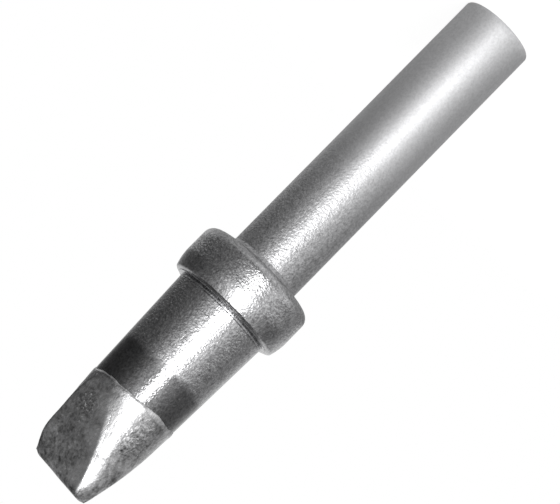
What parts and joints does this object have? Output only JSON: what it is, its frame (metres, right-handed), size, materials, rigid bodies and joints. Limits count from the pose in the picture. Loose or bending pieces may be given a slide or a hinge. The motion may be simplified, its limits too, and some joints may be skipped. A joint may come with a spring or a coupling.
{
  "type": "soldering iron tip",
  "caption": "Chisel-shaped soldering iron tip with a round hollow shank, a seating collar and a tinned end with ground flats.",
  "frame": {"origin": "centre of the shank's end face, on which the tip stands", "axes": "+Z along the tip's axis to the working end, X along the working edge, Y across the flats"},
  "size_m": [0.0092, 0.0092, 0.0428],
  "materials": {
    "plated_metal": "bright plated metal, satin on the shank, finely grained on the collar and body, tinned at the working end"
  },
  "bodies": {
    "root": {"iron_tip": "plated_metal"}
  },
  "joints": []
}
